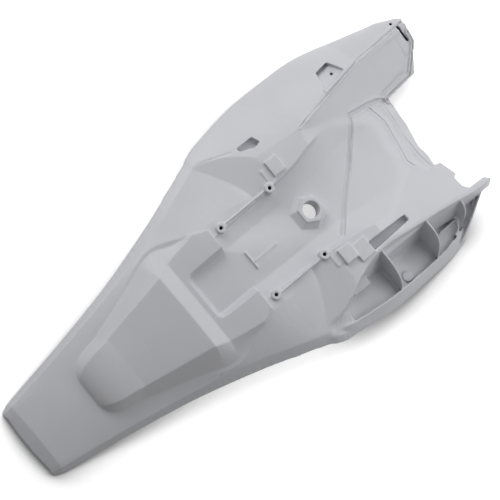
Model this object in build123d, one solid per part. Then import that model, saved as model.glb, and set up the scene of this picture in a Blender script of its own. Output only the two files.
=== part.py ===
from build123d import *
import math
import os

# One-piece motorcycle rear fender, in millimetres. While it is built, x runs
# forward from the tail tip, y to the rider's left and z up from the table.
# The last step moves the origin to the middle of the footprint.

# Overall sizes
LENGTH = 757.0
TAIL_WIDTH = 109.0
BODY_WIDTH = 346.0
WALL = 3.0
RIB = 2.5

# Tail blade
TIP_LIP_LENGTH = 15.0
TIP_CORNER_RADIUS = 14.0
TIP_BULGE = 5.0

# Raised plateau, and the pad in front of it
NOSE_X = 100.0
CREST_X = 261.0
BAND_X = 284.0
PAD_CORNER_X = 335.0
PAD_FRONT_X = 355.0
PLATEAU_HEIGHT = 67.0
PLATEAU_WIDTH = 114.0
PAD_HEIGHT = 65.0
PAD_WIDTH = 147.0
RECESS_WIDTH = 72.0
RECESS_X = 291.0
RECESS_DEPTH = 10.0
RECESS_CORNER = 11.0

# Mounting tray
DECK_HEIGHT = 62.0
BOSS_X = 371.0
BOSS_SPAN_X = 87.0
BOSS_SPAN_Y = 112.0
BOSS_DIAMETER = 14.0
PILOT_DIAMETER = 5.2
BOSS_LENGTH = 16.0
HEX_X = 487.0
HEX_FLATS = 33.0
HOLE_DIAMETER = 23.0
HEX_TOP = 54.0
HEX_LENGTH = 20.0
FOOT_FLARE = 18.0
FOOT_DEPTH = 12.5
BOSS_STAND = 2.0
PILOT_DEPTH = 13.0

# Front
STEP_X = 399.0
TONGUE_X = 711.0
RIGHT_PANEL_X = 650.0

# Plan corners of the openings, left side where both sides have one
SIDE_SLOT = ((461, 122.5), (487, 122.5), (491, 110.5), (480, 109), (461, 117))
LONG_SLOT = ((516, -80.5), (582, -83), (582, -92), (516, -94))
RECESS_PLAN = ((619, 134.5), (641, 136.5), (647, 114), (608, 108.5))
RECESS_FLOOR = 43.0

# Stations of the long shape lines: x, then the value there
OUTLINE = (
    (0, TAIL_WIDTH / 2), (110, 74.5), (210, 95), (300, 120), (375, 146),
    (440, 165), (525, BODY_WIDTH / 2), (590, 172), (650, 163),
    (700, 148), (735, 137), (LENGTH, 124),
)
RIM = ((0, 0), (110, 13), (210, 25), (300, 33), (375, 36), (440, 30), (520, 14), (580, 4),
       (630, 0), (690, 5), (720, 14), (LENGTH, 40))
CREASE = ((0, 9), (110, 22), (210, 34), (300, 43), (375, 46), (440, 42), (520, 30), (580, 15),
          (630, 9), (690, 14), (720, 22), (LENGTH, 48))
FLANGE = ((0, 6), (110, 9), (210, 11), (300, 14), (400, 15), (LENGTH, 13))

# Shallow lines in the surface
FOLD_WIDTH = 5.0
GROOVE_WIDTH = 2.4
FOLD_DEPTH = 1.2
FOLD_LINE = ((616, 64.5), (595, 38.5), (568, 7), (553, -6), (500, -52))
GROOVE_LINE = ((406, 141), (428, 132), (452, 123))
REBATE_DEPTH = 1.4
REBATE_PLAN = ((757, 97), (731, 58), (690, 53), (668, 46), (667, 30), (665, 2), (657, -18), (650, -38),
               (655, -58), (690, -58), (700, 3), (700, 30), (757, 30))

# Pocket ribs and details
RIB_PLACES = (523, 598, 655)
ROLL_DIAMETER = 11.0
STUD_DIAMETER = 15.0
STUD_HEIGHT = 4.0
SOCKET_DIAMETER = 30.0
SOCKET_HEIGHT = 8.0

# The outer side ends well below any rim, and the trims end well above any edge
DEEP = -20.0
HIGH = 130.0
REACH = 300.0
EPS = 0.01


def line_through(points):
    """A smooth function through a few (x, value) points, with no overshoot between them."""
    xs = [p[0] for p in points]
    vs = [p[1] for p in points]
    slopes = [(vs[i + 1] - vs[i]) / (xs[i + 1] - xs[i]) for i in range(len(xs) - 1)]
    tangents = [slopes[0]]
    for before, after in zip(slopes, slopes[1:]):
        tangents.append(0.0 if before * after <= 0 else 2 * before * after / (before + after))
    tangents.append(slopes[-1])

    def value(x):
        if x <= xs[0]:
            return vs[0] + tangents[0] * (x - xs[0])
        if x >= xs[-1]:
            return vs[-1] + tangents[-1] * (x - xs[-1])
        i = max(k for k in range(len(xs) - 1) if xs[k] <= x)
        h = xs[i + 1] - xs[i]
        t = (x - xs[i]) / h
        return (
            (1 + 2 * t) * (1 - t) ** 2 * vs[i]
            + t * (1 - t) ** 2 * h * tangents[i]
            + t * t * (3 - 2 * t) * vs[i + 1]
            + t * t * (t - 1) * h * tangents[i + 1]
        )

    return value


outline = line_through(OUTLINE)
rim = line_through(RIM)
crease = line_through(CREASE)
flange = line_through(FLANGE)


def inset(skin, depth):
    """Moves an open line of (y, z) points, drawn from left to right, inward by depth."""
    normals = []
    for (y0, z0), (y1, z1) in zip(skin, skin[1:]):
        size = math.hypot(y1 - y0, z1 - z0)
        normals.append((-(z1 - z0) / size, (y1 - y0) / size))
    moved = []
    for i, (y, z) in enumerate(skin):
        before = normals[max(i - 1, 0)]
        after = normals[min(i, len(normals) - 1)]
        my, mz = before[0] + after[0], before[1] + after[1]
        size = math.hypot(my, mz)
        my, mz = my / size, mz / size
        reach = depth / (my * after[0] + mz * after[1])
        moved.append((y + my * reach, z + mz * reach))
    return moved


def ring(x, skin, end, arcs=(), curves=None):
    """Closed wire at station x: the skin from left to right, closed at height end.
    Each index in arcs starts a round stretch through three skin points, and each index
    in curves starts a smooth stretch through as many further points as it gives."""
    curves = curves or {}
    spots = [Vector(x, y, z) for y, z in skin]
    edges = []
    i = 0
    while i < len(spots) - 1:
        if i in arcs:
            edges.append(Edge.make_three_point_arc(spots[i], spots[i + 1], spots[i + 2]))
            i += 2
        elif i in curves:
            edges.append(Edge.make_spline(spots[i : i + curves[i] + 1]))
            i += curves[i]
        else:
            edges.append(Edge.make_line(spots[i], spots[i + 1]))
            i += 1
    corners = [spots[-1], Vector(x, skin[-1][0], end), Vector(x, skin[0][0], end), spots[0]]
    edges += [Edge.make_line(a, b) for a, b in zip(corners, corners[1:])]
    return Wire(edges)


def mass(stations, depth=0.0, end=DEEP, arcs=(), curves=None, ruled=False):
    """Solid under (or over) a skin given as (x, skin) stations."""
    closed_at = end - 3 * depth if end < 0 else end + 3 * depth
    rings = [ring(x, inset(skin, depth), closed_at, arcs, curves) for x, skin in stations]
    return Solid.make_loft(rings, ruled)


def mirrored(half):
    """Left half of a skin, from the outside to the middle, completed on the right."""
    return list(half) + [(-y, z) for y, z in reversed(half) if y > EPS]


def column(points, low=DEEP, high=HIGH):
    """Upright prism over a closed plan polygon of (x, y) points."""
    plan = Face(Wire.make_polygon([Vector(x, y, low) for x, y in points]))
    return Solid.extrude(plan, Vector(0, 0, high - low))


def blade_skin(x):
    """Half skin of the tail blade: rim, crease, shoulder and middle."""
    half_width = outline(x)
    fold = half_width - flange(x)
    drop = crease(x) - rim(x)
    slope = flange(x) / drop
    below = 8.0
    shoulder_y = line_through(((0, 42), (110, 53), (210, 71), (281, 94), (335, 74), (430, 66)))
    shoulder_z = line_through(((0, 10.5), (110, 25), (210, 38), (281, 45), (335, 60), (370, 60),
                               (400, 58), (440, 53)))
    crown = line_through(((0, 2.5), (110, 5.5), (210, 6), (281, 4), (335, 1), (440, 1)))
    return mirrored([
        (half_width + slope * below, rim(x) - below),
        (fold, crease(x)),
        (shoulder_y(x), shoulder_z(x)),
        (0, shoulder_z(x) + crown(x)),
    ])


def blade(depth):
    """Tail blade and side blades, up to where the side panels start."""
    stations = (TIP_LIP_LENGTH, 60, 110, 165, 215, 260, 300, 335, 370, 405, 440)
    sections = [(x, blade_skin(x)) for x in stations]
    body = mass(sections, depth, arcs=(2,))
    tip_skin = [(y, z - 0.55 * crease(0)) for y, z in blade_skin(0)]
    lip = mass([(depth, tip_skin), sections[0]], depth, arcs=(2,), ruled=True)
    return body + lip - tip_corners(depth)


def tip_corners(depth):
    """What the rounded tail end leaves off the blade."""
    side = TAIL_WIDTH / 2 - depth + 1.5
    start = TIP_CORNER_RADIUS
    corner = start * (1 - math.sqrt(0.5))
    outer = -REACH / 10
    edges = [
        Edge.make_three_point_arc(
            Vector(start + depth, side, DEEP),
            Vector(corner + depth, side - corner, DEEP),
            Vector(TIP_BULGE / 2 + depth, side - start, DEEP),
        ),
        Edge.make_three_point_arc(
            Vector(TIP_BULGE / 2 + depth, side - start, DEEP),
            Vector(depth, 0, DEEP),
            Vector(TIP_BULGE / 2 + depth, start - side, DEEP),
        ),
        Edge.make_three_point_arc(
            Vector(TIP_BULGE / 2 + depth, start - side, DEEP),
            Vector(corner + depth, corner - side, DEEP),
            Vector(start + depth, -side, DEEP),
        ),
    ]
    far = [(start + depth, -side), (start + depth, -side - REACH / 5), (outer, -side - REACH / 5),
           (outer, side + REACH / 5), (start + depth, side + REACH / 5), (start + depth, side)]
    edges += [Edge.make_line(Vector(*a, DEEP), Vector(*b, DEEP)) for a, b in zip(far, far[1:])]
    return Solid.extrude(Face(Wire(edges)), Vector(0, 0, HIGH - DEEP))


def plateau(depth):
    """Raised plateau, the band that falls forward from its crest, and the pad."""
    foot_z = line_through(((NOSE_X, 20), (182, 28), (CREST_X, 38), (BAND_X, 42)))
    nose = [
        (NOSE_X + depth, mirrored([(26, 20), (14, 26), (0, 27)])),
        (NOSE_X + 5 + depth, mirrored([(39, 21), (24, 34.5), (0, 36)])),
        (NOSE_X + 16 + depth, mirrored([(47, 22), (30.5, 41), (0, 42.5)])),
        (NOSE_X + 60, mirrored([(59, 25), (39, 49), (0, 51)])),
    ]
    long = [
        nose[-1],
        (CREST_X, mirrored([(92, foot_z(CREST_X)), (PLATEAU_WIDTH / 2, PLATEAU_HEIGHT),
                            (0, PLATEAU_HEIGHT + 2)])),
    ]
    band = [
        long[-1],
        (BAND_X, mirrored([(98, foot_z(BAND_X)), (64, 58), (0, 59)])),
    ]
    pad = [
        band[-1],
        (PAD_CORNER_X, mirrored([(PAD_WIDTH / 2 + 4, 52), (PAD_WIDTH / 2, PAD_HEIGHT - 1), (0, PAD_HEIGHT)])),
        (PAD_FRONT_X - depth, mirrored([(PAD_WIDTH / 2 - 5, 52), (PAD_WIDTH / 2 - 9, PAD_HEIGHT + 1),
                                        (0, PAD_HEIGHT + 2)])),
    ]
    arcs = (1,)
    return (
        mass(nose, depth, arcs=arcs)
        + mass(long, depth, arcs=arcs, ruled=True)
        + mass(band, depth, arcs=arcs, ruled=True)
        + mass(pad, depth, arcs=arcs, ruled=True)
    )


def recess(depth):
    """Rounded recess in the pad, open to the tray in front."""
    half = RECESS_WIDTH / 2
    front = PAD_FRONT_X + 25
    length = front - RECESS_X
    tilt = Plane((RECESS_X, 0, PAD_HEIGHT - RECESS_DEPTH - 4 - depth), x_dir=(1, 0, 0.06), z_dir=(-0.06, 0, 1))

    def outline_at(lift, grow):
        size = (length + grow, 2 * (half + grow))
        spot = tilt * Location((length / 2 - grow / 2, 0, lift))
        return (spot * RectangleRounded(*size, RECESS_CORNER + grow)).wire()

    return Solid.make_loft([outline_at(0, depth - 7), outline_at(RECESS_DEPTH, depth),
                            outline_at(3 * RECESS_DEPTH, depth)], True)


def side_skin(x):
    """Skin over the side panels: left rim, round side, left ridge, right ridge, pocket, right rim."""
    below = 8.0
    left = (outline(x), rim(x))
    ridge = (left_ridge(x), ridge_height(x))
    bulge = line_through(((395, 2.5), (440, 5), (551, 7), (620, 6), (690, 4), (LENGTH, 2)))(x)
    dy, dz = left[0] - ridge[0], ridge[1] - left[1]
    size = math.hypot(dy, dz)
    middle = ((left[0] + ridge[0]) / 2 + bulge * dz / size, (left[1] + ridge[1]) / 2 + bulge * dy / size)
    deck = (-deck_edge(x), ridge_height(x))
    right = (-right_ridge(x), right_height(x))
    foot = (-pocket_foot(x), pocket_floor(x))
    # The right panel stops short of the left one, so past its end its lines only run on
    last = min(x, RIGHT_PANEL_X)
    slope = flange(last) / (crease(last) - rim(last))
    shelf_end = outline(last) - slope * (pocket_floor(x) - rim(last))
    right_rim = (-(outline(last) + slope * below), rim(last) - below)
    return [(left[0] + 0.4 * below, left[1] - below), left, middle, ridge, deck, right, foot,
            (-shelf_end, pocket_floor(x)), right_rim]


left_ridge = line_through(((395, 101), (478, 97), (551, 92), (620, 108), (690, 115), (LENGTH, 116)))
ridge_height = line_through(((395, 62), (551, 62), (620, 60.5), (690, 58.5), (LENGTH, 57)))
deck_edge = line_through(((395, 103), (478, 98), (521, 94), (600, 103), (680, 114), (LENGTH, 118)))
right_ridge = line_through(((395, 139), (440, 127), (478, 110), (521, 99), (600, 107), (680, 118),
                            (LENGTH, 124)))
right_height = line_through(((395, 46), (440, 54.5), (478, 61), (521, 62), (600, 61), (LENGTH, 57)))
pocket_foot = line_through(((395, 140.5), (440, 133), (478, 122), (521, 120), (600, 124), (680, 134), (LENGTH, 138)))
pocket_floor = line_through(((395, 42), (422, 38), (470, 29), (521, 20), (597, 4), (650, 3), (LENGTH, 3)))


def side_panels(depth):
    """Both side panels and the deck between them, cut by the ramps at their tail side."""
    stations = (395, 437, 478, 521, 560, 600, 650, 705, LENGTH + 4 + depth)
    body = mass([(x, side_skin(x)) for x in stations], depth, arcs=(1,))
    return body - ramp(depth, 1) - ramp(depth, -1)


def ramp(depth, side):
    """What the backward-facing ramp leaves off on one side."""
    low_corner = Vector(STEP_X, side * 139.6, 45.5)
    inner = Vector(STEP_X + 28, side * 66, 54)
    high_corner = Vector(STEP_X + 78, side * 107, 63)
    normal = (inner - low_corner).cross(high_corner - low_corner).normalized() * side
    plane = Plane(low_corner - normal * depth, x_dir=(0, 1, 0), z_dir=normal)
    block = plane * Box(2 * REACH, 2 * REACH, HIGH, align=(Align.CENTER, Align.CENTER, Align.MIN))
    half = Pos(0, side * REACH / 2, 0) * Box(3 * REACH, REACH, 3 * HIGH)
    return block & (Pos(STEP_X, 0, 0) * half)


def trough(depth):
    """Hollow of the mounting tray, with a low hump along its middle, open into the bowl."""
    rows = (
        (356, 54, 50, 59, 55.5, 57), (375, 55, 51, 57, 53, 56.5), (415, 56, 52, 53, 48, 54),
        (458, 57, 53, 52, 46, 47), (520, 64, 59, 55, 46, 43.5), (570, 76, 70, 55, 45.5, 42.5),
        (620, 70, 62, 49, 41.5, 39), (690, 62, 50, 44, 37, 35),
    )
    sections = []
    for x, edge, toe, toe_z, valley, hump in rows:
        half = [(edge, DECK_HEIGHT + 2), (toe, toe_z), (0.6 * toe, valley), (0, hump)]
        sections.append((x, mirrored(half)))
    return mass(sections, depth, end=HIGH, arcs=(2,))


def bowl(depth):
    """Hollow between the two side panels at the front."""
    left_foot = line_through(((540, 89), (617, 63), (679, 47.5), (LENGTH + 5, 45)))
    left_foot_z = line_through(((540, 62.5), (617, 46), (679, 31), (LENGTH + 5, 20)))
    right_foot = line_through(((540, 89), (572, 75), (642, 40), (677, 28), (LENGTH + 5, 10)))
    right_foot_z = line_through(((540, 62.5), (572, 54), (642, 36), (677, 30), (LENGTH + 5, 20)))
    bottom = line_through(((540, 58), (580, 48.5), (617, 41.5), (679, 26), (LENGTH + 5, 16)))
    sections = []
    for x in (540, 572, 617, 645, 679, LENGTH + 12):
        lip = 1.0
        sections.append((x, [
            (left_ridge(x) - lip, ridge_height(x) + 1),
            (left_foot(x), left_foot_z(x)),
            (0, bottom(x)),
            (-right_foot(x), right_foot_z(x)),
            (lip - right_ridge(x), right_height(x) + 1),
        ]))
    return mass(sections, depth, end=HIGH, ruled=True)


def front_trim():
    """What lies ahead of the wavy front edge."""
    edge = [(LENGTH, REACH), (LENGTH, 89), (735, 51.5), (681, 47.5), (679, 3), (671, -25), (671, -44),
            (667, -59), (675, -61), (679, -86), (673, -88), (672, -103), (677, -111), (702, -112),
            (TONGUE_X, -121),
            (TONGUE_X, -REACH)]
    ahead = column(edge + [(LENGTH + REACH, -REACH), (LENGTH + REACH, REACH)], 2 * DEEP, HIGH)
    lean = 0.66
    foot_x = 648.0
    side_view = [(foot_x + lean * z, z) for z in (2 * DEEP, HIGH)]
    side_view += [(LENGTH + REACH, HIGH), (LENGTH + REACH, 2 * DEEP)]
    plate = Face(Wire.make_polygon([Vector(x, -REACH, z) for x, z in side_view]))
    return [ahead, Solid.extrude(plate, Vector(0, REACH - 126, 0))]


def underside_trim():
    """What lies below the arched lower edge."""
    top = [Vector(x, -REACH, rim(x)) for x, _ in RIM]
    curve = Edge.make_spline(top)
    before = Vector(-50, -REACH, rim(0))
    after = Vector(LENGTH + 50, -REACH, rim(LENGTH))
    edges = [
        Edge.make_line(before, top[0]),
        curve,
        Edge.make_line(top[-1], after),
        Edge.make_line(after, Vector(after.X, -REACH, 2 * DEEP)),
        Edge.make_line(Vector(after.X, -REACH, 2 * DEEP), Vector(before.X, -REACH, 2 * DEEP)),
        Edge.make_line(Vector(before.X, -REACH, 2 * DEEP), before),
    ]
    return Solid.extrude(Face(Wire(edges)), Vector(0, 2 * REACH, 0))


def screw_recess(depth):
    """Sunk seat in the left panel for a screw, with a flat floor."""
    plan = Wire.make_polygon([Vector(*corner, RECESS_FLOOR - depth) for corner in RECESS_PLAN])
    if depth:
        plan = plan.offset_2d(depth, kind=Kind.INTERSECTION)
    return Solid.extrude(Face(plan), Vector(0, 0, HIGH))


def filled(depth):
    """The whole fender as a block under its top surface, with that surface moved in by depth."""
    block = blade(depth) + plateau(depth) + side_panels(depth)
    return block - [recess(depth), trough(depth), bowl(depth), screw_recess(depth)]


def strip(path, width):
    """Plan polygon of a line of this width along path."""
    left, right = [], []
    for i, (x, y) in enumerate(path):
        x0, y0 = path[max(i - 1, 0)]
        x1, y1 = path[min(i + 1, len(path) - 1)]
        size = math.hypot(x1 - x0, y1 - y0)
        dx, dy = (y0 - y1) / size * width / 2, (x1 - x0) / size * width / 2
        left.append((x + dx, y + dy))
        right.append((x - dx, y - dy))
    return left + right[::-1]


def seams():
    """Fold line across the floor, and the rebate along the front edge for the next panel."""
    fold = column(strip(FOLD_LINE, FOLD_WIDTH)) & (trough(FOLD_DEPTH) + bowl(FOLD_DEPTH))
    rebate = column(REBATE_PLAN) & bowl(REBATE_DEPTH)
    return [fold, rebate]


def ramp_grooves():
    """Shallow groove across each side panel, just ahead of its ramp."""
    core = side_panels(FOLD_DEPTH)
    grooves = []
    for side in (1, -1):
        path = [(x, side * y) for x, y in GROOVE_LINE]
        grooves.append(column(strip(path, GROOVE_WIDTH)) - core)
    return grooves


def tray_edges():
    """Upstanding wall along each side of the tray, from boss to boss."""
    front = BOSS_X + BOSS_SPAN_X
    side_view = [(BOSS_X, 56), (BOSS_X, DECK_HEIGHT), (front, DECK_HEIGHT), (front, 49)]
    walls = []
    for y in (-BOSS_SPAN_Y / 2 - RIB, BOSS_SPAN_Y / 2):
        plate = Face(Wire.make_polygon([Vector(x, y, z) for x, z in side_view]))
        walls.append(Solid.extrude(plate, Vector(0, RIB, 0)))
    return walls


def boss_places():
    return [
        (x, side * BOSS_SPAN_Y / 2)
        for x in (BOSS_X, BOSS_X + BOSS_SPAN_X)
        for side in (1, -1)
    ]


def bosses():
    """Four round screw bosses round the tray."""
    top = DECK_HEIGHT + BOSS_STAND
    return [
        Pos(x, y, top - BOSS_LENGTH / 2) * Cylinder(BOSS_DIAMETER / 2, BOSS_LENGTH)
        for x, y in boss_places()
    ]


def pilot_holes():
    """Blind screw holes down the bosses."""
    top = DECK_HEIGHT + BOSS_STAND
    return [
        Pos(x, y, top - PILOT_DEPTH / 2 + 0.5) * Cylinder(PILOT_DIAMETER / 2, PILOT_DEPTH + 1)
        for x, y in boss_places()
    ]


def hex_boss():
    """Hexagonal boss with a foot that flares towards the tail."""

    def hexagon(x, flats, z):
        return (Pos(x, 0, z) * RegularPolygon(flats / 2, 6, major_radius=False, rotation=30)).wire()

    prism = Solid.make_loft([hexagon(HEX_X, HEX_FLATS, z) for z in (HEX_TOP - HEX_LENGTH, HEX_TOP)], True)
    foot = Solid.make_loft(
        [
            hexagon(HEX_X - FOOT_FLARE / 2, HEX_FLATS + FOOT_FLARE, HEX_TOP - FOOT_DEPTH),
            hexagon(HEX_X, HEX_FLATS, HEX_TOP - 2),
        ],
        True,
    )
    return [prism, foot]


def tray_ribs():
    """Short cross rib and long rib on the tray floor."""
    cross = Pos(377, -1, 56.5) * Box(2, 27, 4.5)
    along = Pos(400, -5, 54.2) * Rot(0, 4, 0) * Box(40, 1.6, 4)
    return [cross, along]


def brackets():
    """Bracket block on each side of the tray, and the raised pad on the right."""
    parts = []
    for side in (1, -1):
        parts.append(Pos(483, side * 74.5, 62) * Box(20, 23, 10))
        parts.append(Pos(468, side * 72, 59) * Box(12, 17, 7))
    parts.append(Pos(504, -83, 62.5) * Box(23, 26, 5))
    return parts


def pocket_ribs():
    """Gusset ribs across the right pocket, from the ridge to the outer lip."""
    ribs = []
    for x, edge, crown in zip(RIB_PLACES, (60, 60, 57), (58, 58, 52)):
        floor = pocket_floor(x)
        inner = right_ridge(x)
        outer = outline(x) - flange(x) - 2
        if x > RIGHT_PANEL_X:
            outer = inner + 28
        lip = max(crease(x) - 1, floor + 3)
        top = [(inner, edge), (inner + 0.45 * (outer - inner), crown), (outer, lip)]
        low = [(outer, floor - 1), (pocket_foot(x) - 1, floor - 1), (inner - 1, edge - 2)]
        start, middle, end = [Vector(x, -y, z) for y, z in top]
        edges = [Edge.make_spline([start, middle, end], tangents=[Vector(0, -1, 0.05), Vector(0, -0.3, -1)])]
        path = [end] + [Vector(x, -y, z) for y, z in low] + [start]
        edges += [Edge.make_line(a, b) for a, b in zip(path, path[1:])]
        ribs.append(Solid.extrude(Face(Wire(edges)), Vector(RIB, 0, 0)))
    return ribs


def pocket_details():
    """Round roll under the ridge, low stud, and curved socket wall with its bar."""
    first, second = RIB_PLACES[:2]
    roll_y = right_ridge((first + second) / 2) + 3
    roll = Pos((first + second + RIB) / 2, -roll_y, 48) * Rot(0, 90, 0) * Cylinder(ROLL_DIAMETER / 2, second - first)
    stud_x, stud_y = 546, -149
    stud_z = pocket_floor(stud_x)
    stud = Pos(stud_x, stud_y, stud_z) * Cylinder(STUD_DIAMETER / 2, 2 * STUD_HEIGHT)
    x, y = 638, -134
    middle = Pos(x, y, pocket_floor(x) - 1 + SOCKET_HEIGHT / 2)
    post = middle * Cylinder(SOCKET_DIAMETER / 2, SOCKET_HEIGHT)
    core = middle * Cylinder(SOCKET_DIAMETER / 2 - RIB, 2 * SOCKET_HEIGHT)
    quarter = middle * Box(SOCKET_DIAMETER, SOCKET_DIAMETER, SOCKET_HEIGHT, align=(Align.MIN, Align.MAX, Align.CENTER))
    bar = middle * Pos(0, RIB / 2, 0) * Box(SOCKET_DIAMETER, RIB, SOCKET_HEIGHT)
    return [roll, stud, (post - core) & quarter, bar]


def pocket_lip():
    """Thin upstanding edge between the pocket floor and the outer flange."""
    rings = []
    for x in (418, 455, 490, 525, 560, 600, 645, 668):
        last = min(x, RIGHT_PANEL_X)
        slope = flange(last) / (crease(last) - rim(last))
        low, high = pocket_floor(x) - 1.5, max(crease(last), pocket_floor(x) + 2)
        edge = [(outline(last) - slope * (z - rim(last)), z) for z in (low, high)]
        corners = edge + [(edge[1][0] - RIB, high), (edge[0][0] - RIB, low)]
        rings.append(Wire.make_polygon([Vector(x, -y, z) for y, z in corners]))
    return Solid.make_loft(rings)


def slot_sleeves():
    """Columns that leave a wall standing under the rim of each strap slot."""
    sleeves = []
    for plan, low in ((SIDE_SLOT, 36), ([(x, -y) for x, y in SIDE_SLOT], 36), (LONG_SLOT, 44)):
        rim_line = Wire.make_polygon([Vector(x, y, low) for x, y in plan])
        sleeves.append(Solid.extrude(Face(rim_line.offset_2d(RIB, kind=Kind.INTERSECTION)), Vector(0, 0, HIGH)))
    return sleeves


def bead(path):
    """Low raised line along a path of (x, y, z) points, for the folds of the left panel."""
    half, rise, root = 1.3, 0.9, 1.5
    rings = []
    for x, y, z in path:
        corners = [(y - half, z + rise), (y + half, z + rise), (y + 2 * half, z - root), (y - 2 * half, z - root)]
        rings.append(Wire.make_polygon([Vector(x, a, b) for a, b in corners]))
    return Solid.make_loft(rings, True)


def beads():
    """Beads along the left ridge and along the foot of the horn."""
    ridge = [(x, left_ridge(x), ridge_height(x)) for x in (556, 590, 620, 655, 690, 738)]
    return [bead(ridge)]


def openings():
    """Through slots and holes, as upright columns."""
    cuts = []
    for side in (1, -1):
        cuts.append(column([(x, side * y) for x, y in SIDE_SLOT], 20))
    cuts.append(column(LONG_SLOT, 20))
    cuts.append(column([(748, 92), (752, 92), (753, 112), (749, 112)], 10))
    cuts.append(Pos(747, 121, 40) * Cylinder(2.2, 60))
    cuts.append(Pos(634, 120, 40) * Cylinder(2.2, 20))
    cuts.append(Pos(HEX_X, 0, HEX_TOP) * Cylinder(HOLE_DIAMETER / 2, 80))
    return cuts


def main():
    shell = filled(0.0) - (filled(WALL) - slot_sleeves())
    added = [*tray_edges(), *bosses(), *hex_boss(), *tray_ribs(), *brackets(), *pocket_ribs(), pocket_lip()]
    added += [*pocket_details(), *beads()]
    fender = shell - [*seams(), *ramp_grooves()] + added
    fender = fender - [underside_trim(), *front_trim()]
    fender = fender - [*pilot_holes(), *openings()]
    box = fender.bounding_box()
    fender = fender.moved(Location((-LENGTH / 2, 0, -box.min.Z)))
    os.makedirs("parts", exist_ok=True)
    export_step(fender, "parts/rear_fender.step")
    print("size", box.size, "moved by", -LENGTH / 2, 0, -box.min.Z, "middle", box.center())
    print("solids", [round(solid.volume) for solid in fender.solids()], "valid", fender.is_valid)


main()
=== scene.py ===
import math

import bmesh
import bpy
import numpy as np
from mathutils import Matrix, Vector

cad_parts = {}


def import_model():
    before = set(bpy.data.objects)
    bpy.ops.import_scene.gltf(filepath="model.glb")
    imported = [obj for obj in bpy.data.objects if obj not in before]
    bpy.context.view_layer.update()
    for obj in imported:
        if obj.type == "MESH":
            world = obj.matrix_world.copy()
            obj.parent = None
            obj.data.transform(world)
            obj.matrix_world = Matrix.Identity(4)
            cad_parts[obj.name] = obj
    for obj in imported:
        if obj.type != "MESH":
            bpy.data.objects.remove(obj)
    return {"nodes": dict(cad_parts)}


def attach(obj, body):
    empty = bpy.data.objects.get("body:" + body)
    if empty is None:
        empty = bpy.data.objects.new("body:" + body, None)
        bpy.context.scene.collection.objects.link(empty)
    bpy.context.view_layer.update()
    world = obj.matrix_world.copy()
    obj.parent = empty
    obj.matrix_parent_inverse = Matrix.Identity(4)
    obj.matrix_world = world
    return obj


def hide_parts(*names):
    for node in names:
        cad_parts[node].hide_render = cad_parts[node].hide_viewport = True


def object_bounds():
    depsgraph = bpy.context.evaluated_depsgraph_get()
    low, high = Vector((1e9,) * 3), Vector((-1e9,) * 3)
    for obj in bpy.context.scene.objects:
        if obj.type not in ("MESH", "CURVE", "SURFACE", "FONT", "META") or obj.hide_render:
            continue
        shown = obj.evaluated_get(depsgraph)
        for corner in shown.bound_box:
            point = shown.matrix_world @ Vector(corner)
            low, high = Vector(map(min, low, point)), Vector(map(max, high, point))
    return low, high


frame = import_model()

cad_low, cad_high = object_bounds()

# Shapes are in millimetres: x ahead of the tail tip, y to the left, z up. Scene lengths are in metres.
MM = 0.001

# The photograph's view: from above the tail, with the nose towards the upper right
VIEW_ELEVATION = math.radians(70.0)
VIEW_ROLL = math.radians(50.3)
VIEW_CENTRE = Vector((0.0122, 0.0103, 0.040))
VIEW_WIDTH = 0.650
VIEW_DISTANCE = 6.0
VIEW_CLIP = 50.0
SENSOR = 36.0

# Lamps: name, azimuth and elevation in degrees, distance, diameter, watts
LAMPS = (
    ("left", 90, 32, 2.4, 1.4, 22.5),
    ("left_front", 67, 25, 2.4, 1.4, 5.5),
    ("front", 0, 32, 1.3, 0.9, 3.6),
    ("front_right", -45, 32, 1.3, 0.9, 3.8),
    ("front_high", 45, 60, 1.2, 0.9, 1.9),
)
FILL = 0.20

# The floor: it shows as white where the air above it is open, and a painted shadow darkens it where it
# isn't; its matte part also takes the lamps' shadow
FLOOR_Z = -0.0002
FLOOR_HALF = 4.0
FLOOR_GREY = (0.50, 0.50, 0.50, 1)
FLOOR_LIFT = 0.95
PAINTED_SHADOW_REACH = 0.045
PAINTED_SHADOW_POWER = 3.4
PAINTED_SHADOW_LEAN = (0.35, 0.65, 0.67)
PAINTED_SHADOW_SAMPLES = 16

# The plastic: two close tints in soft clouds, a fine grain, and painted shade that darkens its colour
# in crevices
ROUGHNESS = 0.42
IOR = 1.47
TINTS = ((0.35, (0.545, 0.549, 0.580, 1)), (0.65, (0.575, 0.579, 0.610, 1)))
CLOUD_SCALE = 9.0
GRAIN_SCALE = 1400.0
GRAIN_DEPTH = 0.0002
PAINTED_SHADE_REACH = 0.007
PAINTED_SHADE_OPENNESS = (0.12, 0.55)
PAINTED_SHADE_LEVELS = (0.04, 1.0)
PAINTED_SHADE_SAMPLES = 8

# The remeshed copy
VOXEL = 0.0009
SMOOTH_FACTOR = 0.5
SMOOTH_STEPS = 6
MAX_TRIANGLES = 185000

# The left horn: stations are x, then the value there
HORN_SPACE = ((668, 106.8), (738, 106.8), (738, 79), (775, 79), (775, 170), (668, 170))
HORN_START = 666.0
HORN_END = 756.5
HORN_SHOULDER = 756.0
HORN_SWEEP = 6.5
HORN_STEPS = 60
HORN_FOLDS = 12
HORN_WALL = 3.0
RIDGE_Y = ((666, 110.3), (700, 115.5), (741, 120), (757, 119))
RIDGE_Z = ((666, 58.9), (720, 57.6), (757, 56.8))
RIDGE_INNER = 1.5
RIDGE_NORMAL = (0.3, 0.95)
PANEL_SLOPE = ((666, 0.44), (720, 0.487), (757, 0.52))
PANEL_FOLD_Y = 110.5
PANEL_Y = (105.0, 108.5)
PANEL_NORMAL = (-0.40, 0.92)
HORN_RIM_Y = ((666, 158.0), (700, 148.0), (735, 137.0), (757, 122.0))
HORN_RIM_Z = ((666, 1.5), (690, 5.0), (720, 14.0), (750, 36.0), (757, 40.0))
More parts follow.
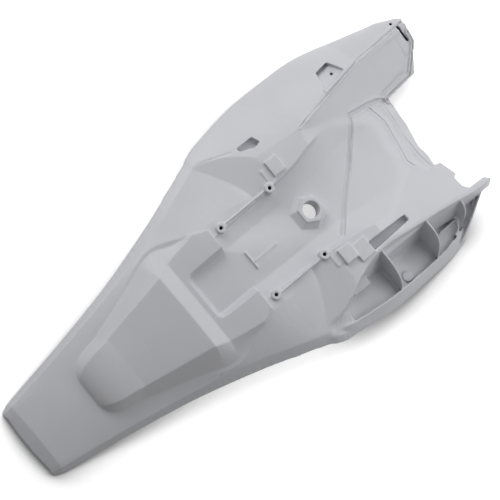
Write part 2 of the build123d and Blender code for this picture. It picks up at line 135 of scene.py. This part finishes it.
HORN_BULGE = ((666, 4.7), (757, 2.5))
TIP_PLAN = ((735, 76), (750, 76), (756.8, 85), (756.8, 96), (756.5, 112), (735, 112))
TIP_WALL = 3.2

# Its slot, with the cup behind it: end points, then height at both ends, width and depth
HORN_SLOT = (744.6, 114.7, 749.0, 89.5)
SLOT_WIDTH = 3.2
SLOT_CUP = (55.6, 44.6, 6.6, 13.0)
SLOT_CORE = (62.0, 51.0, SLOT_WIDTH, 18.0)
SLOT_CUP_MARGIN = (0.3, 1.6)

# Small screw holes, each with a blind cup of these lower and upper heights behind it
HORN_HOLE, HORN_HOLE_CUP = (740.7, 121.2), (44.0, 54.5)
SEAT_HOLE, SEAT_HOLE_CUP = (634, 120), (34.0, 45.5)
HOLE_RADIUS = 2.0
CUP_RADIUS = 3.8
CUP_FLOOR = 1.5

# The screw seat in the left panel: plans, the skin's height and slope there, heights from the skin
SEAT_PLAN = ((619, 134.5), (641, 136.5), (647, 114), (608, 108.5))
SEAT_OUTER = ((617, 137), (643, 139.5), (650, 111.5), (604, 106))
SEAT_SKIN_Y = 111
SEAT_SKIN_Z = 60.0
SEAT_SLOPE = 0.96
SEAT_ABOVE = 12.0
SEAT_BELOW = -16.0
SEAT_TOP = -1.2
SEAT_DEPTH = 4.5
SEAT_FLOOR = 2.5

# The web that closes the right pocket at its front: x, y, lower and upper edge
POCKET_WEB = ((640, -162, 0.5, 6), (652, -156, 1, 11), (668, -146, 4, 20), (684, -134, 12, 32),
              (696, -124.5, 24, 44))
WEB_BACK = (-1.6, 2.2)
# and the inner side of that bay's floor
POCKET_INNER = ((640, -131, 0.5), (652, -128, 4), (668, -124.5, 14), (684, -123, 22), (696, -122, 25))
BAY_FLOOR = 2.4
BAY_OVERLAP = 0.6

# Floors inside the slots: end points, height at both ends, and width
SLOT_FLOORS = ((518, -87, 581, -87.5, 47, 47, 14), (462, 116.5, 489, 116.5, 46, 46, 14),
               (462, -116.5, 489, -116.5, 46, 46, 14))
SLOT_FLOOR_DEPTH = 2.5

# Where the surface is smoothed further: plan paths, how far from them, and how many steps.
# The floor runs on from the tray into the front bowl, and each side panel starts at the edge.
SOFT_FLOOR = ((571, 71), (600, 62), (620, 45), (629, 20), (627, 2), (607, -41), (566, -56))
SOFT_PATHS = ((SOFT_FLOOR, 22.0, 160), (((384, 143), (412, 147)), 16.0, 80),
              (((384, -143), (412, -147)), 16.0, 80))

# The left lower edge, which is evened out between these x, over a span, with a reach inwards
EDGE_LINE = ((30, 67), (110, 74.5), (210, 95), (300, 120), (375, 146), (440, 165), (525, 173),
             (590, 172), (650, 163))
EDGE_SOFTENING = (5.0, 16)
EDGE_START, EDGE_END = 60, 600
EDGE_SPAN = 25
EDGE_REACH = 7.0
EDGE_FADE = 20.0

# Lines moulded into upward surfaces: plan paths, and heights at distances from them
HORN_EDGE = ((757, 98), (757, 85), (746, 69), (728, 50.5), (681, 47.5))
STEPPED_EDGE = ((0, 1.0), (2.2, 1.0), (2.9, -1.0), (3.8, -1.0), (4.6, 0.8), (6.2, 0.8),
                (7.6, -1.6), (12.0, -1.6), (13.2, 0.0))
RIDGE_LINE = ((545, 92), (608, 103), (672, 113), (752, 115))
DOUBLE_LINE = ((0, -1.1), (0.8, -1.1), (1.8, 0.7), (2.6, 0.7), (3.6, 0.0))
FLOOR_FOLD = ((671, 50), (662, 55), (645, 59), (616, 63), (604, 46), (581, 22), (540, -14), (499, -52))
FOLD_STEP = ((0, -1.6), (2.2, -1.6), (3.4, 0.6), (5.0, 0.6), (7.0, 0.0))
FLANGE_LINE = ((646, 55), (653, 28), (648, -3), (641, -32), (645, -43))
FLANGE_LIP = ((667, 50), (667, 24), (663, -7), (661, -39), (662, -58))
FINE_STEP = ((0, -0.8), (0.9, -0.8), (1.9, 0.4), (3.0, 0.4), (4.2, 0.0))
LINES = ((HORN_EDGE, STEPPED_EDGE), (RIDGE_LINE, DOUBLE_LINE), (FLOOR_FOLD, FOLD_STEP),
         (FLANGE_LINE, FINE_STEP), (FLANGE_LIP, FINE_STEP))
UPWARD = 0.3
UPWARD_FADE = 0.2

FAR = 1e9


def shader(material, kind, **inputs):
    """A new node of this kind, with its named inputs set."""
    node = material.node_tree.nodes.new(kind)
    for name, value in inputs.items():
        node.inputs[name.replace("_", " ")].default_value = value
    return node


def math_node(tree, operation, first, second):
    """Output of a math node on a socket and a number or another socket."""
    node = tree.nodes.new("ShaderNodeMath")
    node.operation = operation
    tree.links.new(first, node.inputs[0])
    if isinstance(second, float):
        node.inputs[1].default_value = second
    else:
        tree.links.new(second, node.inputs[1])
    return node.outputs[0]


def moulded_plastic():
    """Pale, slightly cool satin plastic with a fine grain and faint cloudiness, its colour darkened in
    crevices as painted shade.
    """
    material = bpy.data.materials.new("moulded_plastic")
    material.use_nodes = True
    tree = material.node_tree
    surface = tree.nodes["Principled BSDF"]
    surface.inputs["Roughness"].default_value = ROUGHNESS
    surface.inputs["IOR"].default_value = IOR
    place = tree.nodes.new("ShaderNodeTexCoord")
    clouds = shader(material, "ShaderNodeTexNoise", Scale=CLOUD_SCALE, Detail=3.0, Roughness=0.5)
    tree.links.new(place.outputs["Object"], clouds.inputs["Vector"])
    tint = tree.nodes.new("ShaderNodeValToRGB")
    for element, (position, colour) in zip(tint.color_ramp.elements, TINTS):
        element.position = position
        element.color = colour
    tree.links.new(clouds.outputs["Fac"], tint.inputs["Fac"])
    # Painted shade: the base colour is mixed towards black where the surface is closed in, in
    # crevices, holes and the cups behind them
    shade_occlusion = shader(material, "ShaderNodeAmbientOcclusion", Distance=PAINTED_SHADE_REACH)
    shade_occlusion.samples = PAINTED_SHADE_SAMPLES
    crevice_shade = tree.nodes.new("ShaderNodeMapRange")
    crevice_shade.inputs["From Min"].default_value = PAINTED_SHADE_OPENNESS[0]
    crevice_shade.inputs["From Max"].default_value = PAINTED_SHADE_OPENNESS[1]
    crevice_shade.inputs["To Min"].default_value = PAINTED_SHADE_LEVELS[0]
    crevice_shade.inputs["To Max"].default_value = PAINTED_SHADE_LEVELS[1]
    tree.links.new(shade_occlusion.outputs["AO"], crevice_shade.inputs["Value"])
    shade = tree.nodes.new("ShaderNodeMix")
    shade.data_type = "RGBA"
    shade.inputs["A"].default_value = (0.0, 0.0, 0.0, 1)
    tree.links.new(crevice_shade.outputs["Result"], shade.inputs["Factor"])
    tree.links.new(tint.outputs["Color"], shade.inputs["B"])
    tree.links.new(shade.outputs["Result"], surface.inputs["Base Color"])
    grain = shader(material, "ShaderNodeTexNoise", Scale=GRAIN_SCALE, Detail=2.0, Roughness=0.6)
    tree.links.new(place.outputs["Object"], grain.inputs["Vector"])
    bump = shader(material, "ShaderNodeBump", Strength=0.05, Distance=GRAIN_DEPTH)
    tree.links.new(grain.outputs["Fac"], bump.inputs["Height"])
    tree.links.new(bump.outputs["Normal"], surface.inputs["Normal"])
    return material


def along(points, x):
    """Value at x on a polyline of (x, value) points."""
    for (x0, v0), (x1, v1) in zip(points, points[1:]):
        if x <= x1:
            return v0 + (v1 - v0) * max(0.0, (x - x0) / (x1 - x0))
    return points[-1][1]


def to_frame(x, y, z):
    """From millimetres ahead of the tail tip to metres in the shared frame."""
    return (MM * x + cad_low.x, MM * y, MM * z)


def closed_mesh(name, points, faces):
    """New object of these points, with its faces turned outwards."""
    mesh = bpy.data.meshes.new(name)
    mesh.from_pydata([to_frame(*point) for point in points], [], faces)
    made = bpy.data.objects.new(name, mesh)
    bpy.context.scene.collection.objects.link(made)
    form = bmesh.new()
    form.from_mesh(mesh)
    bmesh.ops.recalc_face_normals(form, faces=form.faces)
    form.to_mesh(mesh)
    form.free()
    return made


def block(name, points):
    """Block whose first half of points is one end and the second half the other."""
    count = len(points) // 2
    sides = [(i, (i + 1) % count, (i + 1) % count + count, i + count) for i in range(count)]
    return closed_mesh(name, points, sides + [tuple(range(count)), tuple(range(count, 2 * count))])


def tube(name, rings):
    """Closed bar through rings that have the same number of points."""
    count = len(rings[0])
    faces = []
    for i in range(len(rings) - 1):
        for j in range(count):
            k = (j + 1) % count
            faces.append((i * count + j, i * count + k, (i + 1) * count + k, (i + 1) * count + j))
    last = (len(rings) - 1) * count
    faces += [tuple(range(count)), tuple(range(last, last + count))]
    return closed_mesh(name, [point for ring in rings for point in ring], faces)


def prism(name, plan, low=-10.0, high=90.0):
    """Upright block over this plan polygon."""
    return block(name, [(x, y, low) for x, y in plan] + [(x, y, high) for x, y in plan])


def ring_plan(x, y, radius, count=16):
    """Points of a circle in plan."""
    turns = [2 * math.pi * i / count for i in range(count)]
    return [(x + radius * math.cos(turn), y + radius * math.sin(turn)) for turn in turns]


def bar_plan(x0, y0, x1, y1, width):
    """Plan rectangle of this width from one point to the other."""
    size = math.hypot(x1 - x0, y1 - y0)
    dx, dy = (y0 - y1) / size * width / 2, (x1 - x0) / size * width / 2
    return [(x0 + dx, y0 + dy), (x1 + dx, y1 + dy), (x1 - dx, y1 - dy), (x0 - dx, y0 - dy)]


def sloped_bar(x0, y0, z0, x1, y1, z1, width, depth):
    """Bar under a line, from z0 at one end to z1 at the other."""
    a, b, c, d = bar_plan(x0, y0, x1, y1, width)
    tops = [(*a, z0), (*b, z1), (*c, z1), (*d, z0)]
    return block("bar", tops + [(x, y, z - depth) for x, y, z in tops])


def sloped_block(plan, above, below):
    """Block over a plan, between these heights above the left panel's skin at the screw seat."""
    return block("block", [(x, y, SEAT_SKIN_Z - SEAT_SLOPE * (y - SEAT_SKIN_Y) + rise)
                           for rise in (above, below) for x, y in plan])


def panel_z(x, y):
    """Height of the horn's inner panel, which falls inwards from the ridge."""
    return along(RIDGE_Z, x) - along(PANEL_SLOPE, x) * (PANEL_FOLD_Y - y)


def horn_section(share, fold):
    """Point of the horn's outer face and the direction it faces in y and z.

    share runs from the horn's start to its end. fold is 0 on the ridge and HORN_FOLDS at the rim,
    and negative on the inner panel.
    """
    end = HORN_END if fold <= 0 else HORN_SHOULDER - HORN_SWEEP * fold / HORN_FOLDS
    x = HORN_START + share * (end - HORN_START)
    ridge_y, ridge_z = along(RIDGE_Y, x), along(RIDGE_Z, x)
    if fold < 0:
        y = (*PANEL_Y, ridge_y - RIDGE_INNER)[fold]
        return (x, y, min(ridge_z, panel_z(x, y))), PANEL_NORMAL if fold < -1 else (0.0, 1.0)
    t = fold / HORN_FOLDS
    rim_y, rim_z = along(HORN_RIM_Y, x), along(HORN_RIM_Z, x)
    size = math.hypot(rim_y - ridge_y, ridge_z - rim_z)
    facing = ((ridge_z - rim_z) / size, (rim_y - ridge_y) / size)
    bulge = 4 * t * (1 - t) * along(HORN_BULGE, x)
    y = ridge_y + t * (rim_y - ridge_y) + bulge * facing[0]
    z = ridge_z + t * (rim_z - ridge_z) + bulge * facing[1]
    return (x, y, z), RIDGE_NORMAL if fold == 0 else facing


def horn_skin():
    """The left horn from its inner panel over the ridge and down to the rim, as a closed wall."""
    rings = []
    for i in range(HORN_STEPS + 1):
        outer, inner = [], []
        for fold in range(-3, HORN_FOLDS + 1):
            (x, y, z), facing = horn_section(i / HORN_STEPS, fold)
            outer.append((x, y, z))
            inner.append((x, y - HORN_WALL * facing[0], z - HORN_WALL * facing[1]))
        rings.append(outer + inner[::-1])
    return tube("horn_skin", rings)


def horn_tip():
    """Flat tip of the horn, between its inner panel and its ridge."""
    return block("horn_tip", [(x, y, panel_z(x, min(y, PANEL_FOLD_Y)) - drop)
                              for drop in (0.0, TIP_WALL) for x, y in TIP_PLAN])


def blind(spot, low, high):
    """Closed cup under a small hole."""
    made = prism("cup", ring_plan(*spot, CUP_RADIUS), low, high)
    cut(made, prism("core", ring_plan(*spot, HOLE_RADIUS), low + CUP_FLOOR, high + 6))
    return made


def slot_cup():
    """Closed cup behind the horn's slot."""
    x0, y0, x1, y1 = HORN_SLOT
    more_x, less_y = SLOT_CUP_MARGIN
    z0, z1, width, depth = SLOT_CUP
    cup = sloped_bar(x0 - more_x, y0 + less_y, z0, x1 + more_x, y1 - less_y, z1, width, depth)
    z0, z1, width, depth = SLOT_CORE
    cut(cup, sloped_bar(x0, y0, z0, x1, y1, z1, width, depth))
    return cup


def horn(piece):
    """Rebuilds the end of the left horn, with its hole and slot."""
    slot = bar_plan(*HORN_SLOT, SLOT_WIDTH)
    tip = horn_tip()
    cut(tip, prism("tip_slot", slot))
    skin = horn_skin()
    cut(skin, prism("skin_slot", slot))
    cut(skin, prism("horn_hole", ring_plan(*HORN_HOLE, HOLE_RADIUS)))
    for part in (tip, skin, slot_cup(), blind(HORN_HOLE, *HORN_HOLE_CUP)):
        join(piece, part)


def pocket_bay(piece):
    """The thin curved wall and the floor at the front of the right pocket."""
    back_x, back_y = WEB_BACK
    web = [((x, y, low), (x, y, high), (x + back_x, y + back_y, high), (x + back_x, y + back_y, low))
           for x, y, low, high in POCKET_WEB]
    join(piece, tube("pocket_web", web))
    ground = [((x, y + BAY_OVERLAP, low + BAY_FLOOR), (inner_x, inner_y, inner_z + BAY_FLOOR),
               (inner_x, inner_y, inner_z), (x, y + BAY_OVERLAP, low))
              for (x, y, low, _), (inner_x, inner_y, inner_z) in zip(POCKET_WEB, POCKET_INNER)]
    join(piece, tube("pocket_floor", ground))


def seat(piece):
    """The screw seat in the left panel, with its floor along the skin."""
    cup = sloped_block(SEAT_OUTER, SEAT_TOP, -SEAT_DEPTH - SEAT_FLOOR)
    cut(cup, sloped_block(SEAT_PLAN, SEAT_ABOVE, -SEAT_DEPTH))
    cut(cup, prism("seat_hole", ring_plan(*SEAT_HOLE, HOLE_RADIUS)))
    join(piece, cup)
    join(piece, blind(SEAT_HOLE, *SEAT_HOLE_CUP))


def moulded_copy(source, material):
    """A copy of the CAD body with the small soft edges and fine lines of a moulding."""
    mesh = source.data.copy()
    mesh.transform(source.matrix_world)
    piece = bpy.data.objects.new("rear_fender_moulding", mesh)
    bpy.context.scene.collection.objects.link(piece)
    mesh.materials.clear()
    mesh.materials.append(material)
    # Both cuts come before anything is joined, as a boolean spoils a mesh whose shells overlap
    cut(piece, prism("horn_space", HORN_SPACE))
    cut(piece, sloped_block(SEAT_PLAN, SEAT_ABOVE, SEAT_BELOW))
    horn(piece)
    pocket_bay(piece)
    for x0, y0, x1, y1, z0, z1, width in SLOT_FLOORS:
        join(piece, sloped_bar(x0, y0, z0, x1, y1, z1, width, SLOT_FLOOR_DEPTH))
    seat(piece)
    remesh = piece.modifiers.new("even", "REMESH")
    remesh.mode = "VOXEL"
    remesh.voxel_size = VOXEL
    remesh.use_smooth_shade = True
    smooth = piece.modifiers.new("soften", "SMOOTH")
    smooth.factor = SMOOTH_FACTOR
    smooth.iterations = SMOOTH_STEPS
    bake(piece)
    for path, reach, steps in SOFT_PATHS:
        relax(piece, path, reach, steps)
    for side in (1, -1):
        even_edge(piece, side)
        relax(piece, [(x, side * y) for x, y in EDGE_LINE], *EDGE_SOFTENING)
    for path, bands in LINES:
        press(piece, path, bands)
    triangles = sum(len(face.vertices) - 2 for face in piece.data.polygons)
    if triangles > MAX_TRIANGLES:
        piece.modifiers.new("thin", "DECIMATE").ratio = MAX_TRIANGLES / triangles
        bake(piece)
    piece.data.polygons.foreach_set("use_smooth", [True] * len(piece.data.polygons))
    return piece


def bake(piece):
    """Applies the piece's modifiers."""
    view = bpy.context.evaluated_depsgraph_get()
    mesh = bpy.data.meshes.new_from_object(piece.evaluated_get(view))
    piece.modifiers.clear()
    piece.data = mesh


def cut(piece, tool):
    """Takes tool away from piece."""
    step = piece.modifiers.new("cut", "BOOLEAN")
    step.operation = "DIFFERENCE"
    step.solver = "EXACT"
    step.object = tool
    bake(piece)
    bpy.data.objects.remove(tool)


def join(piece, other):
    """Adds other's shell to piece's mesh."""
    form = bmesh.new()
    form.from_mesh(piece.data)
    form.from_mesh(other.data)
    form.to_mesh(piece.data)
    form.free()
    bpy.data.objects.remove(other)


def read_points(mesh):
    """Positions of the vertices in metres, one row each."""
    spot = np.empty(3 * len(mesh.vertices))
    mesh.vertices.foreach_get("co", spot)
    return spot.reshape(-1, 3)


def write_points(mesh, spot):
    """Moves the vertices to these positions."""
    mesh.vertices.foreach_set("co", spot.ravel())
    mesh.update()


def distances(mesh, path):
    """Plan distance in mm from each vertex to the path."""
    flat = read_points(mesh)[:, :2]
    near = np.full(len(flat), FAR)
    for (x0, y0), (x1, y1) in zip(path, path[1:]):
        start = np.array(to_frame(x0, y0, 0)[:2])
        way = np.array(to_frame(x1, y1, 0)[:2]) - start
        share = np.clip(((flat - start) @ way) / (way @ way), 0, 1)
        near = np.minimum(near, np.linalg.norm(flat - start - share[:, None] * way, axis=1))
    return near / MM


def relax(piece, path, reach, steps):
    """Smooths the surface near a plan path, most on the path itself."""
    near = distances(piece.data, path)
    group = piece.vertex_groups.new(name="soft")
    for i in np.nonzero(near < reach)[0]:
        group.add([int(i)], float(1 - near[i] / reach) ** 0.5, "REPLACE")
    ease = piece.modifiers.new("relax", "SMOOTH")
    ease.factor = SMOOTH_FACTOR
    ease.iterations = steps
    ease.vertex_group = "soft"
    bake(piece)
    piece.vertex_groups.clear()


def trend(values, i):
    """Value at i of a parabola fitted through the values around it."""
    first = max(0, i - EDGE_SPAN // 2)
    around = values[first:i + EDGE_SPAN // 2 + 1]
    return np.polyval(np.polyfit(np.arange(first, first + len(around)) - i, around, 2), 0)


def even_edge(piece, side):
    """Takes the remesh's stair steps out of the outer edge on one side, 1 for left and -1 for right.

    The outermost point of each millimetre along x moves to the trend of those around it, and the
    surface near it moves along.
    """
    spot = read_points(piece.data)
    ahead = (spot[:, 0] - cad_low.x) / MM - EDGE_START
    out = side * spot[:, 1] / MM
    count = EDGE_END - EDGE_START
    inside = (ahead >= 0) & (ahead < count)
    edge = np.full(count, -FAR)
    np.maximum.at(edge, ahead[inside].astype(int), out[inside])
    middles = np.arange(count) + 0.5
    shift = np.interp(ahead, middles, np.array([trend(edge, i) for i in range(count)]) - edge)
    inwards = np.interp(ahead, middles, edge) - out
    shift *= np.clip(1 - inwards / EDGE_REACH, 0, 1)
    shift *= np.minimum(1.0, np.minimum(ahead, count - ahead) / EDGE_FADE)
    spot[inside, 1] += MM * side * shift[inside]
    write_points(piece.data, spot)


def press(piece, path, bands):
    """Raises or sinks the upward faces near a plan path by the bands' (distance, height) stations."""
    mesh = piece.data
    spot = read_points(mesh)
    facing = np.empty(spot.size)
    mesh.vertex_normals.foreach_get("vector", facing)
    rise = np.interp(distances(mesh, path), [d for d, _ in bands], [h for _, h in bands], right=0.0)
    rise *= np.clip((facing.reshape(-1, 3)[:, 2] - UPWARD) / UPWARD_FADE, 0, 1)
    spot[:, 2] += MM * rise
    write_points(mesh, spot)


def camera():
    """Long lens at the photograph's angle."""
    data = bpy.data.cameras.new("photo_camera")
    data.sensor_width = SENSOR
    data.lens = SENSOR * VIEW_DISTANCE / VIEW_WIDTH
    data.clip_end = VIEW_CLIP
    made = bpy.data.objects.new("photo_camera", data)
    bpy.context.scene.collection.objects.link(made)
    back = Vector((-math.cos(VIEW_ELEVATION), 0.0, math.sin(VIEW_ELEVATION)))
    ahead = Vector((math.sin(VIEW_ELEVATION), 0.0, math.cos(VIEW_ELEVATION)))
    right = Vector((0.0, -1.0, 0.0))
    across = ahead * math.sin(VIEW_ROLL) + right * math.cos(VIEW_ROLL)
    up = ahead * math.cos(VIEW_ROLL) - right * math.sin(VIEW_ROLL)
    turn = Matrix((across, up, back)).transposed()
    made.matrix_world = Matrix.Translation(VIEW_CENTRE + back * VIEW_DISTANCE) @ turn.to_4x4()
    bpy.context.scene.camera = made


def soft_lamp(name, azimuth, elevation, distance, size, watts):
    """Round soft lamp that looks at the fender from this direction, in degrees."""
    data = bpy.data.lights.new(name, "AREA")
    data.shape = "DISK"
    data.size = size
    data.energy = watts
    lamp = bpy.data.objects.new(name, data)
    turn, rise = math.radians(azimuth), math.radians(elevation)
    spot = Vector((math.cos(rise) * math.cos(turn), math.cos(rise) * math.sin(turn), math.sin(rise)))
    lamp.location = distance * spot
    lamp.rotation_mode = "QUATERNION"
    lamp.rotation_quaternion = (-spot).to_track_quat("-Z", "Y")
    bpy.context.scene.collection.objects.link(lamp)


def seen_directly(tree):
    """1 for camera, glossy and transmission rays, else 0."""
    path = tree.nodes.new("ShaderNodeLightPath")
    total = path.outputs["Is Camera Ray"]
    for name in ("Is Glossy Ray", "Is Transmission Ray"):
        total = math_node(tree, "MAXIMUM", total, path.outputs[name])
    return total


def floor():
    """Pale floor that shows as white, takes the lamps' shadow, and has a painted shadow dimming its
    glow near the fender.
    """
    material = bpy.data.materials.new("floor_white")
    material.use_nodes = True
    tree = material.node_tree
    tree.nodes.clear()
    matte = shader(material, "ShaderNodeBsdfDiffuse", Color=FLOOR_GREY)
    glow = shader(material, "ShaderNodeEmission", Color=(1, 1, 1, 1))
    # Painted shadow: the glow that makes the floor white is dimmed where the floor is closed in near
    # the fender, leaned towards one side
    shadow_occlusion = shader(material, "ShaderNodeAmbientOcclusion", Distance=PAINTED_SHADOW_REACH)
    shadow_occlusion.samples = PAINTED_SHADOW_SAMPLES
    lean = tree.nodes.new("ShaderNodeNormal")
    lean.outputs["Normal"].default_value = Vector(PAINTED_SHADOW_LEAN).normalized()
    tree.links.new(lean.outputs["Normal"], shadow_occlusion.inputs["Normal"])
    painted_shadow = math_node(tree, "POWER", shadow_occlusion.outputs["AO"], PAINTED_SHADOW_POWER)
    seen = math_node(tree, "MULTIPLY", seen_directly(tree), FLOOR_LIFT)
    tree.links.new(math_node(tree, "MULTIPLY", painted_shadow, seen), glow.inputs["Strength"])
    both = tree.nodes.new("ShaderNodeAddShader")
    tree.links.new(matte.outputs[0], both.inputs[0])
    tree.links.new(glow.outputs[0], both.inputs[1])
    out = tree.nodes.new("ShaderNodeOutputMaterial")
    tree.links.new(both.outputs[0], out.inputs["Surface"])
    mesh = bpy.data.meshes.new("floor")
    corners = [(x * FLOOR_HALF, y * FLOOR_HALF, 0) for x, y in ((-1, -1), (1, -1), (1, 1), (-1, 1))]
    mesh.from_pydata(corners, [], [(0, 1, 2, 3)])
    mesh.materials.append(material)
    ground = bpy.data.objects.new("floor", mesh)
    ground.location.z = FLOOR_Z
    bpy.context.scene.collection.objects.link(ground)


def world():
    """Even grey fill that shows as white behind the floor."""
    sky = bpy.data.worlds.new("studio")
    bpy.context.scene.world = sky
    sky.use_nodes = True
    tree = sky.node_tree
    background = tree.nodes["Background"]
    background.inputs["Color"].default_value = (1, 1, 1, 1)
    strength = tree.nodes.new("ShaderNodeMapRange")
    strength.inputs["To Min"].default_value = FILL
    strength.inputs["To Max"].default_value = 1.0
    tree.links.new(seen_directly(tree), strength.inputs["Value"])
    tree.links.new(strength.outputs["Result"], background.inputs["Strength"])


bpy.context.scene.view_settings.view_transform = "Standard"

fender = moulded_copy(frame["nodes"]["rear_fender"], moulded_plastic())
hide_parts("rear_fender")
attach(fender, "root")

floor()
world()
for lamp in LAMPS:
    soft_lamp(*lamp)
camera()
